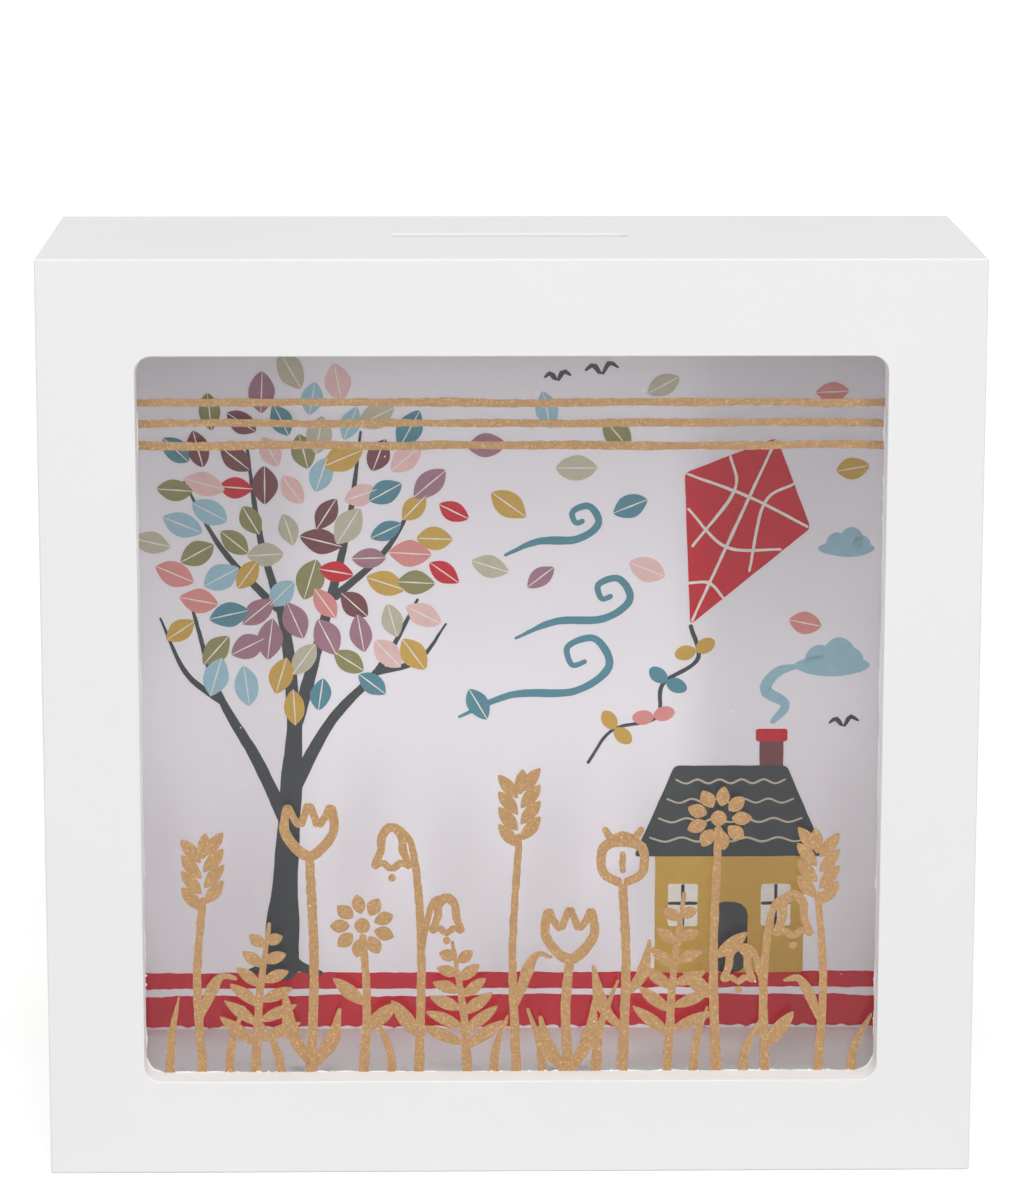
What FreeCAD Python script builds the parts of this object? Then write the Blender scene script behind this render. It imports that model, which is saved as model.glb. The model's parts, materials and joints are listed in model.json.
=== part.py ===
import FreeCAD, Part
import os

# A white wooden money box: a square case with a glazed front, a coin slot in the top and a
# back panel held by four turn buttons.
# Millimetres. The origin is the centre of the base. X runs to the right, Y to the back, Z up.

vector = FreeCAD.Vector
along_x = vector(1, 0, 0)
along_y = vector(0, 1, 0)
along_z = vector(0, 0, 1)
tolerance = 1e-6

# Case
case_width = 140.0
case_height = 140.0
case_depth = 54.0
edge_round = 0.3
wall_thickness = 9.0
front_thickness = 5.0

# Window in the front board
window_border = 14.45
window_corner_radius = 2.5
window_edge_round = 0.2

# Pane, the beads that hold it against the front board and the pins in the beads
pane_thickness = 2.0
pane_gap = 0.3
bead_width = 4.5
bead_depth = 5.0
bead_bevel = 1.2
pin_diameter = 0.8
pin_length = 10.0
pin_end_distance = 20.0
pin_clearance = 0.02

# Coin slot in the top wall
slot_length = 36.5
slot_width = 4.5
slot_edge_round = 0.3

# Back panel with the card in front of it, both in a rebate around the back of the walls
panel_thickness = 8.0
panel_gap = 0.3
panel_bevel = 0.5
card_thickness = 0.4
rebate_width = 3.5
notch_radius = 9.0

# Dowels in the four corners
dowel_diameter = 4.0
dowel_length = 20.0
dowel_depth_in_end_wall = 6.0
dowel_edge_distance = 14.0
dowel_clearance = 0.05
dowel_bevel = 0.5

# Turn buttons on the back edges of the side walls, with their washers and screws
button_thickness = 1.0
button_length = 18.0
button_margin = 0.25
button_tip_length = 4.5
button_tip_rise = 1.2
button_axis_drop = 37.8
washer_thickness = 0.4
washer_diameter = 4.4
stack_clearance = 0.05
screw_diameter = 2.0
screw_length = 12.0
screw_point_length = 2.5
screw_head_diameter = 4.2
screw_head_height = 1.3
screw_head_round = 0.6
screw_pilot_clearance = 0.03
screw_running_clearance = 0.08
screw_recess_length = 2.4
screw_recess_width = 0.5
screw_recess_depth = 0.6

# Levels that follow from the sizes above
front_face = -case_depth / 2
back_face = case_depth / 2
front_board_back = front_face + front_thickness
pane_back = front_board_back + pane_thickness
bead_back = pane_back + bead_depth
panel_front = back_face - panel_thickness
card_front = panel_front - card_thickness
inside_half_width = case_width / 2 - wall_thickness
inside_floor = wall_thickness
inside_ceiling = case_height - wall_thickness
middle_height = case_height / 2
slot_middle = (bead_back + card_front) / 2
rear_edge_width = wall_thickness - rebate_width
pocket_width = case_width - 2 * rear_edge_width
pocket_height = case_height - 2 * rear_edge_width
panel_width = pocket_width - 2 * panel_gap
panel_height = pocket_height - 2 * panel_gap
button_width = rear_edge_width - 2 * button_margin
button_axis_x = case_width / 2 - rear_edge_width / 2
button_front = back_face + washer_thickness + stack_clearance
button_back = button_front + button_thickness
screw_seat = button_back + stack_clearance
hole_clear_diameter = screw_diameter + 2 * screw_running_clearance

# Axes of the turn buttons: place in X and place in Z
button_axes = {
    "upper_left": (-button_axis_x, case_height - button_axis_drop),
    "lower_left": (-button_axis_x, button_axis_drop),
    "upper_right": (button_axis_x, case_height - button_axis_drop),
    "lower_right": (button_axis_x, button_axis_drop),
}


def block(x_low, x_high, y_low, y_high, z_low, z_high):
    corner = vector(x_low, y_low, z_low)
    return Part.makeBox(x_high - x_low, y_high - y_low, z_high - z_low, corner)


def centred_block(width, y_low, y_high, height):
    # A block across the middle of the case front, from one depth to another
    half_width = width / 2
    half_height = height / 2
    return block(
        -half_width, half_width, y_low, y_high, middle_height - half_height, middle_height + half_height
    )


def edges_along(shape, direction):
    found = []
    for edge in shape.Edges:
        run = edge.Vertexes[-1].Point - edge.Vertexes[0].Point
        if run.Length > 0 and run.cross(direction).Length < tolerance * run.Length:
            found.append(edge)
    return found


def edges_at_depth(shape, depth):
    found = []
    for edge in shape.Edges:
        box = edge.BoundBox
        if abs(box.YMin - depth) < tolerance and abs(box.YMax - depth) < tolerance:
            found.append(edge)
    return found


def edges_at_height(shape, height):
    found = []
    for edge in shape.Edges:
        box = edge.BoundBox
        if abs(box.ZMin - height) < tolerance and abs(box.ZMax - height) < tolerance:
            found.append(edge)
    return found


def rounded_prism(width, y_low, y_high, height, corner_radius):
    prism = centred_block(width, y_low, y_high, height)
    return prism.makeFillet(corner_radius, edges_along(prism, along_y))


def case_envelope():
    # The outside of the closed case with its slightly rounded edges
    envelope = centred_block(case_width, front_face, back_face, case_height)
    return envelope.makeFillet(edge_round, envelope.Edges)


def back_pocket():
    # The space that the rebate leaves for the back panel and the card
    return centred_block(pocket_width, card_front, back_face, pocket_height)


def dowel_places():
    # Two dowels in each corner: place in X, place in Y, and the level where the boards meet
    places = []
    for side in (-1, 1):
        x = side * (case_width / 2 - wall_thickness / 2)
        for y in (front_board_back + dowel_edge_distance, back_face - dowel_edge_distance):
            for level in (inside_floor, inside_ceiling):
                places.append((x, y, level))
    return places


def dowel_low_end(level):
    # Each dowel reaches the same depth into the top or bottom wall and the rest into the side
    if level == inside_floor:
        return level - dowel_depth_in_end_wall
    return level + dowel_depth_in_end_wall - dowel_length


def dowel_holes():
    radius = dowel_diameter / 2 + dowel_clearance
    length = dowel_length + 2 * dowel_bevel
    holes = []
    for x, y, level in dowel_places():
        bottom = vector(x, y, dowel_low_end(level) - dowel_bevel)
        holes.append(Part.makeCylinder(radius, length, bottom, along_z))
    return Part.makeCompound(holes)


def corner_dowels():
    dowels = []
    for x, y, level in dowel_places():
        bottom = vector(x, y, dowel_low_end(level))
        dowel = Part.makeCylinder(dowel_diameter / 2, dowel_length, bottom, along_z)
        rims = edges_at_height(dowel, bottom.z) + edges_at_height(dowel, bottom.z + dowel_length)
        dowels.append(dowel.makeChamfer(dowel_bevel, rims))
    return Part.makeCompound(dowels)


def screw_holes():
    radius = screw_diameter / 2 + screw_pilot_clearance
    depth = screw_length - (screw_seat - back_face)
    holes = []
    for x, z in button_axes.values():
        holes.append(Part.makeCylinder(radius, depth, vector(x, back_face, z), -along_y))
    return Part.makeCompound(holes)


def pins(radius):
    # Two pins through each bead into the wall behind it, from the bead's inner face outwards
    bead_middle = (pane_back + bead_back) / 2
    across = inside_half_width - pin_end_distance
    up = (inside_ceiling - inside_floor) / 2 - pin_end_distance
    inner_x = inside_half_width - bead_width
    inner_z = (inside_ceiling - inside_floor) / 2 - bead_width
    shapes = []
    for side in (-1, 1):
        for end in (-1, 1):
            level_start = vector(end * across, bead_middle, middle_height + side * inner_z)
            shapes.append(Part.makeCylinder(radius, pin_length, level_start, along_z * side))
            side_start = vector(side * inner_x, bead_middle, middle_height + end * up)
            shapes.append(Part.makeCylinder(radius, pin_length, side_start, along_x * side))
    return Part.makeCompound(shapes)


def bead_pins():
    return pins(pin_diameter / 2)


def pin_holes():
    return pins(pin_diameter / 2 + pin_clearance)


def window_opening():
    width = case_width - 2 * window_border
    height = case_height - 2 * window_border
    return rounded_prism(width, front_face, front_board_back, height, window_corner_radius)


def front_board():
    board = case_envelope().common(block(
        -case_width / 2, case_width / 2, front_face, front_board_back, 0, case_height
    ))
    board = board.cut(window_opening())
    rim = []
    window_half = case_width / 2 - window_border
    for edge in edges_at_depth(board, front_face):
        box = edge.BoundBox
        if box.XMin > -window_half - edge_round and box.XMax < window_half + edge_round:
            rim.append(edge)
    return board.makeFillet(window_edge_round, rim)


def wall(x_low, x_high, z_low, z_high):
    board = case_envelope().common(block(
        x_low, x_high, front_board_back, back_face, z_low, z_high
    ))
    return board.cut([back_pocket(), dowel_holes(), screw_holes(), pin_holes()])


def coin_slot():
    # A slot with round ends, through the top wall
    radius = slot_width / 2
    straight = slot_length - slot_width
    low = inside_ceiling
    slot = block(
        -straight / 2, straight / 2, slot_middle - radius, slot_middle + radius, low, case_height
    )
    for side in (-1, 1):
        foot = vector(side * straight / 2, slot_middle, low)
        slot = slot.fuse(Part.makeCylinder(radius, wall_thickness, foot, along_z))
    return slot.removeSplitter()


def top_wall():
    board = wall(-case_width / 2, case_width / 2, inside_ceiling, case_height)
    board = board.cut(coin_slot())
    rim = []
    for edge in edges_at_height(board, case_height):
        box = edge.BoundBox
        if max(-box.XMin, box.XMax) < slot_length / 2 + edge_round:
            rim.append(edge)
    return board.makeFillet(slot_edge_round, rim)


def bottom_wall():
    return wall(-case_width / 2, case_width / 2, 0, inside_floor)


def left_wall():
    return wall(-case_width / 2, -inside_half_width, inside_floor, inside_ceiling)


def right_wall():
    return wall(inside_half_width, case_width / 2, inside_floor, inside_ceiling)


def window_pane():
    width = 2 * (inside_half_width - pane_gap)
    height = inside_ceiling - inside_floor - 2 * pane_gap
    return centred_block(width, front_board_back, pane_back, height)


def finished_bead(bead, x, z):
    # Takes off the long back edge of a bead that faces into the case, and drills it for its pins
    inner = []
    for edge in edges_at_depth(bead, bead_back):
        box = edge.BoundBox
        in_place_x = x is None or (abs(box.XMin - x) < tolerance and abs(box.XMax - x) < tolerance)
        in_place_z = z is None or (abs(box.ZMin - z) < tolerance and abs(box.ZMax - z) < tolerance)
        if in_place_x and in_place_z:
            inner.append(edge)
    return bead.makeChamfer(bead_bevel, inner).cut(pin_holes())


def bead_top():
    low = inside_ceiling - bead_width
    bead = block(-inside_half_width, inside_half_width, pane_back, bead_back, low, inside_ceiling)
    return finished_bead(bead, None, low)


def bead_bottom():
    high = inside_floor + bead_width
    bead = block(-inside_half_width, inside_half_width, pane_back, bead_back, inside_floor, high)
    return finished_bead(bead, None, high)


def side_bead(side):
    outer = side * inside_half_width
    inner = side * (inside_half_width - bead_width)
    low = inside_floor + bead_width
    high = inside_ceiling - bead_width
    bead = block(min(outer, inner), max(outer, inner), pane_back, bead_back, low, high)
    return finished_bead(bead, inner, None)


def backing_card():
    return centred_block(panel_width, card_front, panel_front, panel_height)


def back_panel():
    panel = centred_block(panel_width, panel_front, back_face, panel_height)
    panel = panel.makeChamfer(panel_bevel, edges_at_depth(panel, back_face))
    # Half-round finger notch in the middle of the upper edge
    centre = vector(0, panel_front, middle_height + panel_height / 2)
    return panel.cut(Part.makeCylinder(notch_radius, panel_thickness, centre, along_y))


def stadium(x, z, y_low, thickness):
    # Flat strip with round ends that hangs down from the axis at x, z
    radius = button_width / 2
    drop = button_length - button_width
    strip = block(x - radius, x + radius, y_low, y_low + thickness, z - drop, z)
    for end in (z, z - drop):
        strip = strip.fuse(Part.makeCylinder(radius, thickness, vector(x, y_low, end), along_y))
    return strip.removeSplitter()


def turn_button(x, z):
    # Stamped steel strip, its free end bent away from the case for the finger
    half = button_width / 2
    head = z + half
    toe = head - button_length
    bend = toe + button_tip_length
    outline = [
        (button_front, head),
        (button_front, bend),
        (button_front + button_tip_rise, toe),
        (button_back + button_tip_rise, toe),
        (button_back, bend),
        (button_back, head),
    ]
    corners = [vector(x - half, y, height) for y, height in outline]
    corners.append(corners[0])
    side = Part.Face(Part.makePolygon(corners))
    strip = side.extrude(vector(button_width, 0, 0))
    button = strip.common(stadium(x, z, button_front, button_thickness + button_tip_rise))
    hole = Part.makeCylinder(
        hole_clear_diameter / 2, button_thickness, vector(x, button_front, z), along_y
    )
    return button.cut(hole)


def turn_button_washers():
    washers = []
    for x, z in button_axes.values():
        foot = vector(x, back_face, z)
        disc = Part.makeCylinder(washer_diameter / 2, washer_thickness, foot, along_y)
        hole = Part.makeCylinder(hole_clear_diameter / 2, washer_thickness, foot, along_y)
        washers.append(disc.cut(hole))
    return Part.makeCompound(washers)


def turn_button_screw(x, z):
    # Round-headed wood screw, driven in from the back
    head = Part.makeCylinder(
        screw_head_diameter / 2, screw_head_height, vector(x, screw_seat, z), along_y
    )
    crown = screw_seat + screw_head_height
    head = head.makeFillet(screw_head_round, edges_at_depth(head, crown))
    straight = screw_length - screw_point_length
    shank = Part.makeCylinder(screw_diameter / 2, straight, vector(x, screw_seat, z), -along_y)
    point = Part.makeCone(
        screw_diameter / 2, 0, screw_point_length, vector(x, screw_seat - straight, z), -along_y
    )
    screw = head.fuse([shank, point]).removeSplitter()
    long_half = screw_recess_length / 2
    short_half = screw_recess_width / 2
    recess_floor = crown - screw_recess_depth
    level_arm = block(x - long_half, x + long_half, recess_floor, crown, z - short_half, z + short_half)
    upright_arm = block(x - short_half, x + short_half, recess_floor, crown, z - long_half, z + long_half)
    return screw.cut([level_arm, upright_arm])


def turn_button_screws():
    return Part.makeCompound([turn_button_screw(x, z) for x, z in button_axes.values()])


nodes = {
    "front_board": front_board(),
    "top_wall": top_wall(),
    "bottom_wall": bottom_wall(),
    "left_wall": left_wall(),
    "right_wall": right_wall(),
    "corner_dowels": corner_dowels(),
    "window_pane": window_pane(),
    "bead_top": bead_top(),
    "bead_bottom": bead_bottom(),
    "bead_left": side_bead(-1),
    "bead_right": side_bead(1),
    "bead_pins": bead_pins(),
    "backing_card": backing_card(),
    "back_panel": back_panel(),
    "turn_button_washers": turn_button_washers(),
    "turn_button_screws": turn_button_screws(),
}
for place, (x, z) in button_axes.items():
    nodes["turn_button_" + place] = turn_button(x, z)

os.makedirs("parts", exist_ok=True)
for name, shape in nodes.items():
    shape.exportStep(os.path.join("parts", name + ".step"))
    print(name, len(shape.Solids), "solids,", round(shape.Volume, 2), "mm3")
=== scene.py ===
import bisect
import bmesh
import bpy
import json
import math
import random
from mathutils import Matrix, Vector, geometry, noise


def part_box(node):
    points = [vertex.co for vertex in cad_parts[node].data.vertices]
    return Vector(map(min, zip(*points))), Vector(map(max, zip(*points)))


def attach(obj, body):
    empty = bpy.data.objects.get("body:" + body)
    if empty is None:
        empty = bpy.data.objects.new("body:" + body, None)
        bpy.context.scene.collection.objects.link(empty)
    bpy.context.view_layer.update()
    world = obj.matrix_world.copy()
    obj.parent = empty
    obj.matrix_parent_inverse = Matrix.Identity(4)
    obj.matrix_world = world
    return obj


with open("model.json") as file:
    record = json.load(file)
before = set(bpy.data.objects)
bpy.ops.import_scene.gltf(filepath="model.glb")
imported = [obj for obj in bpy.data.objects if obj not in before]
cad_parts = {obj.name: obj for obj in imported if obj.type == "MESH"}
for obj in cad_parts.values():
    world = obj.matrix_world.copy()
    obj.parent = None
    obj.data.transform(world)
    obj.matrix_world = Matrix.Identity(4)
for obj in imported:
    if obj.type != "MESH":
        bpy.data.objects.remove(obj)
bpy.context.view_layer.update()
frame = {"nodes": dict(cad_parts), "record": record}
mm = 0.001
nodes = frame["nodes"]
print("frame loaded:", len(nodes), "solids")


# shader maths written as plain expressions

class Wire:
    def __init__(self, tree, socket=None):
        self.tree = tree
        self.socket = socket

    # any node: its type, its settings, then values or wires for its sockets
    def node(self, kind, settings=None, sockets=None, out=0):
        made = self.tree.nodes.new(kind)
        for name, value in (settings or {}).items():
            if name == "stops":
                self.setStops(made.color_ramp, value)
            else:
                setattr(made, name, value)
        for name, value in (sockets or {}).items():
            if isinstance(value, Wire):
                self.tree.links.new(value.socket, made.inputs[name])
            else:
                made.inputs[name].default_value = value
        return Wire(self.tree, made.outputs[out])

    def setStops(self, ramp, stops):
        while len(ramp.elements) < len(stops):
            ramp.elements.new(1.0)
        for element, (position, value) in zip(ramp.elements, stops):
            element.position = position
            element.color = (value, value, value, 1)

    def maths(self, operation, first, second):
        return self.node("ShaderNodeMath", {"operation": operation}, {0: first, 1: second})

    def __add__(self, other):
        return self.maths("ADD", self, other)

    def __radd__(self, other):
        return self.maths("ADD", other, self)

    def __sub__(self, other):
        return self.maths("SUBTRACT", self, other)

    def __rsub__(self, other):
        return self.maths("SUBTRACT", other, self)

    def __mul__(self, other):
        return self.maths("MULTIPLY", self, other)

    def __rmul__(self, other):
        return self.maths("MULTIPLY", other, self)

    # colour and pattern helpers
    def blend(self, amount, first, second):
        return self.node(
            "ShaderNodeMix", {"data_type": "RGBA"}, {"Factor": amount, 6: first, 7: second}, out=2
        )

    def place(self, scale=(1, 1, 1)):
        spot = self.node("ShaderNodeTexCoord", out="Object")
        return self.node("ShaderNodeMapping", None, {"Vector": spot, "Scale": scale})

    def noise(self, size, detail=2.0, stretch=(1, 1, 1), roughness=0.5):
        return self.node(
            "ShaderNodeTexNoise", None,
            {"Vector": self.place(stretch), "Scale": 1 / size, "Detail": detail, "Roughness": roughness},
        )

    def ramp(self, value, *stops):
        return self.node("ShaderNodeValToRGB", {"stops": stops}, {"Fac": value})

    def bump(self, height, depth):
        return self.node("ShaderNodeBump", None, {"Height": height, "Distance": depth})


def ink(red, green, blue):  # a screen colour, 0 to 255, as the linear colour that shaders take
    def linear(value):
        share = value / 255
        return share / 12.92 if share <= 0.04045 else ((share + 0.055) / 1.055) ** 2.4
    return (linear(red), linear(green), linear(blue), 1)


def newMaterial(name, makeShader):
    material = bpy.data.materials.new(name)
    material.use_nodes = True
    tree = material.node_tree
    tree.nodes.clear()
    shader = makeShader(Wire(tree))
    output = tree.nodes.new("ShaderNodeOutputMaterial")
    tree.links.new(shader.socket, output.inputs["Surface"])
    return material


def principled(w, sockets):
    return w.node("ShaderNodeBsdfPrincipled", None, sockets)


# white satin paint, rolled on
whitePaint = {
    "colour": ink(238, 237, 238),
    "shade": ink(235, 234, 234),
    "cloudSize": 34 * mm,
    "roughness": (0.56, 0.08),   # lowest, and what the clouds add
    "sheen": 0.1,
    "peelSize": 1.1 * mm,        # faint orange peel from the roller
    "peelDepth": 0.02 * mm,
}


def paintShader(w):
    cloud = w.noise(whitePaint["cloudSize"], 3)
    peel = w.noise(whitePaint["peelSize"], 3)
    low, more = whitePaint["roughness"]
    return principled(w, {
        "Base Color": w.blend(cloud, whitePaint["colour"], whitePaint["shade"]),
        "Roughness": low + cloud * more,
        "Normal": w.bump(peel, whitePaint["peelDepth"]),
        "Specular IOR Level": whitePaint["sheen"],
    })


# bare fibreboard of the back panel: smooth sanded faces, darker sawn edges
fibreboard = {
    "colour": ink(203, 172, 133),
    "dark": ink(176, 143, 104),
    "fibre": ink(140, 106, 73),
    "pale": ink(228, 205, 170),
    "edge": ink(156, 121, 84),
    "edgeShare": 0.75,
    "feltSize": 0.9 * mm,
    "feltDepth": 0.05 * mm,
    "patchSize": 30 * mm,
    "patchShare": 0.4,
    "fibreSize": 0.36 * mm,
    "fibreLength": 4,            # to its width
    "fibreShare": 0.36,
    "fibreLies": [(25, "fibre"), (-48, "pale"), (80, "fibre"), (-10, "pale"), (-75, "fibre")],
    "roughness": (0.74, 0.12, 0.08),   # lowest, and what the felt and the sawn edges add
    "sheen": 0.25,
}


def fibreboardShader(w):
    felt = w.noise(fibreboard["feltSize"], 5, roughness=0.7)
    patches = w.noise(fibreboard["patchSize"], 4, roughness=0.6)
    share = fibreboard["patchShare"]
    body = w.blend(felt * (1 - share) + patches * share, fibreboard["dark"], fibreboard["colour"])
    for turn, tone in fibreboard["fibreLies"]:   # short fibres, each set turned its own way
        lie = w.node("ShaderNodeMapping", {"vector_type": "TEXTURE"}, {
            "Vector": w.place(),
            "Rotation": (0, math.radians(turn), 0),
            "Scale": (1, 1, fibreboard["fibreLength"]),
        })
        threads = w.node("ShaderNodeTexNoise", None, {
            "Vector": lie, "Scale": 1 / fibreboard["fibreSize"], "Detail": 2.0,
        })
        shown = w.ramp(threads, (0.6, 0), (0.72, 1)) * fibreboard["fibreShare"]
        body = w.blend(shown, body, fibreboard[tone])
    normal = w.node("ShaderNodeNewGeometry", out="True Normal")
    facing = w.node("ShaderNodeSeparateXYZ", None, {0: normal}, out="Y")
    sawn = 1 - facing * facing   # faces that look neither to the front nor to the back
    low, byFelt, bySaw = fibreboard["roughness"]
    return principled(w, {
        "Base Color": w.blend(sawn * fibreboard["edgeShare"], body, fibreboard["edge"]),
        "Roughness": low + felt * byFelt + sawn * bySaw,
        "Normal": w.bump(felt, fibreboard["feltDepth"]),
        "Specular IOR Level": fibreboard["sheen"],
    })


# zinc-plated stamped steel
zincSteel = {
    "colour": ink(196, 197, 196),
    "dull": ink(150, 151, 150),
    "spangleSize": 2.6 * mm,
    "scratchSize": 1.3 * mm,
    "scratchScale": (9, 1, 1),   # fine along X, long in Y and Z
    "scratchDepth": 0.006 * mm,
    "roughness": (0.3, 0.18),    # lowest, and what the scratches add
}


def zincShader(w):
    scratches = w.noise(zincSteel["scratchSize"], 4, zincSteel["scratchScale"], 0.7)
    spangle = w.noise(zincSteel["spangleSize"])
    low, more = zincSteel["roughness"]
    return principled(w, {
        "Base Color": w.blend(spangle, zincSteel["dull"], zincSteel["colour"]),
        "Metallic": 1.0,
        "Roughness": low + scratches * more,
        "Normal": w.bump(scratches, zincSteel["scratchDepth"]),
    })


# beech of the dowels
beech = {
    "colour": ink(205, 165, 118),
    "grain": ink(168, 122, 78),
    "raySize": 1.4 * mm,
    "rayScale": (4, 4, 0.4),     # fine across, long in Z
    "rayDepth": 0.03 * mm,
    "roughness": (0.62, 0.1),    # lowest, and what the rays add
}


def beechShader(w):
    rays = w.noise(beech["raySize"], 4, beech["rayScale"], 0.6)
    low, more = beech["roughness"]
    return principled(w, {
        "Base Color": w.blend(rays, beech["colour"], beech["grain"]),
        "Roughness": low + rays * more,
        "Normal": w.bump(rays, beech["rayDepth"]),
    })


# matte white card
whiteCard = {
    "colour": ink(250, 247, 253),
    "tint": ink(245, 242, 248),
    "cloudSize": 22 * mm,
    "toothSize": 0.35 * mm,
    "toothDepth": 0.012 * mm,
    "roughness": (0.66, 0.1),    # lowest, and what the tooth adds
    "sheen": 0.3,
}


def cardShader(w):
    tooth = w.noise(whiteCard["toothSize"], 3)
    cloud = w.noise(whiteCard["cloudSize"])
    low, more = whiteCard["roughness"]
    return principled(w, {
        "Base Color": w.blend(cloud, whiteCard["colour"], whiteCard["tint"]),
        "Roughness": low + tooth * more,
        "Normal": w.bump(tooth, whiteCard["toothDepth"]),
        "Specular IOR Level": whiteCard["sheen"],
    })


# printed card inks, each a little mottled
cardInks = {
    "red": ink(207, 24, 46),
    "ochre": ink(208, 168, 76),
    "charcoal": ink(62, 66, 70),
    "teal": ink(84, 142, 158),
    "sky": ink(158, 198, 214),
    "olive": ink(146, 142, 92),
    "sand": ink(196, 190, 168),
    "mauve": ink(166, 120, 136),
    "pink": ink(236, 196, 194),
    "salmon": ink(226, 146, 142),
    "maroon": ink(122, 68, 74),
    "cream": ink(244, 236, 228),
}
inkMottle = {
    "washSize": 1.7 * mm,
    "washShare": 0.75,
    "grainSize": 0.3 * mm,
    "grainDepth": 0.006 * mm,
    "paler": (1.16, 0.012),      # times the ink, and added to it
    "deeper": 0.86,
    "roughness": (0.55, 0.12),   # lowest, and what the wash adds
    "sheen": 0.25,
}


def inkShader(colour):
    def build(w):
        wash = w.noise(inkMottle["washSize"], 4, roughness=0.62)
        grain = w.noise(inkMottle["grainSize"])
        times, plus = inkMottle["paler"]
        pale = tuple(min(1.0, c * times + plus) for c in colour[:3]) + (1,)
        deep = tuple(c * inkMottle["deeper"] for c in colour[:3]) + (1,)
        share = inkMottle["washShare"]
        low, more = inkMottle["roughness"]
        return principled(w, {
            "Base Color": w.blend(wash * share + grain * (1 - share), deep, pale),
            "Roughness": low + wash * more,
            "Normal": w.bump(grain, inkMottle["grainDepth"]),
            "Specular IOR Level": inkMottle["sheen"],
        })
    return build


# speckled metallic inks on the pane: body, hollows and sparks of each; the second ink is the same gold made
# darker, as painted shade for the lines under the window head
goldInks = {
    "gold": (ink(190, 152, 107), ink(164, 126, 87), ink(227, 194, 146)),
    "deepGold": (ink(182, 148, 108), ink(151, 118, 83), ink(219, 189, 147)),
}
goldSpeck = {
    "size": 0.3 * mm,
    "depth": 0.01 * mm,
    "sparkle": 0.55,
    "cloudSize": 2.4 * mm,
    "cloudShare": 0.4,
    "metallic": 0.45,
    "roughness": (0.46, 0.12, 0.06),   # of the body, what sparks take off and what clouds add
}


def goldShader(body, hollow, spark):
    def build(w):
        speck = w.noise(goldSpeck["size"], roughness=0.6)
        cloud = w.noise(goldSpeck["cloudSize"], 3)
        grain = w.ramp(speck, (0.36, 0), (0.64, 1))
        sparks = w.ramp(speck, (0.6, 0), (0.7, 1))
        share = goldSpeck["cloudShare"]
        base = w.blend(cloud * share + grain * (1 - share), hollow, body)
        plain, bySpark, byCloud = goldSpeck["roughness"]
        return principled(w, {
            "Base Color": w.blend(sparks * goldSpeck["sparkle"], base, spark),
            "Metallic": goldSpeck["metallic"],
            "Roughness": plain - sparks * bySpark + cloud * byCloud,
            "Normal": w.bump(speck, goldSpeck["depth"]),
        })
    return build


# clear pane: a mirror at its faces by the angle, and see-through for the rest
clearPane = {"tint": (1, 1, 1, 1), "ior": 1.3, "roughness": 0.015}


def paneShader(w):
    mirror = w.node("ShaderNodeFresnel", None, {"IOR": clearPane["ior"]})
    through = w.node("ShaderNodeBsdfTransparent", None, {"Color": clearPane["tint"]})
    gloss = w.node(
        "ShaderNodeBsdfGlossy", None, {"Color": (1, 1, 1, 1), "Roughness": clearPane["roughness"]}
    )
    return w.node("ShaderNodeMixShader", None, {0: mirror, 1: through, 2: gloss})


finishes = {
    "white_painted_wood": newMaterial("whitePaint", paintShader),
    "raw_fibreboard": newMaterial("fibreboard", fibreboardShader),
    "zinc_steel": newMaterial("zincSteel", zincShader),
    "beech": newMaterial("beech", beechShader),
    "printed_card": newMaterial("whiteCard", cardShader),
    "clear_pane": newMaterial("clearPane", paneShader),
}
goldMaterials = {name: newMaterial(name + "Ink", goldShader(*tones)) for name, tones in goldInks.items()}
inkMaterials = {name: newMaterial(name + "Ink", inkShader(colour)) for name, colour in cardInks.items()}

for part in frame["record"]["subparts"]:
    mesh = nodes[part["node"]].data
    mesh.materials.clear()
    mesh.materials.append(finishes[part["material_slot"]])
nodes["bead_pins"].data.materials[0] = finishes["white_painted_wood"]   # their heads are painted over
print("finishes on the solids:", ", ".join(finishes))


# flat printed marks, drawn in X and Z on a surface that faces the front
printing = {
    "seed": 7,
    "hair": 0.0001 * mm,     # each mark stands this much higher, so no two tops share a plane
    "step": 0.4 * mm,        # about the length of a stroke's faces
    "fewestSteps": 12,
    "thinnest": 0.02 * mm,
    "swell": 0.12,           # slow change of a stroke's width
    "swellRate": 160,        # these three rates are to the metre
    "raggedRate": 800,
    "shakeRate": 420,
    "curveSteps": 14,        # spots from one point of a stroke to the next
    "petalSides": (20, 28),  # of a short petal and of a longer one
    "shortPetal": 4 * mm,
    "cornerSteps": 3,
    "longEdge": 2 * mm,      # longer edges of a patch are cut, so that they can waver
    "edgeCuts": 12,
}
noise.seed_set(printing["seed"])   # without this, noise_vector starts from the clock and each run differs


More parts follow.
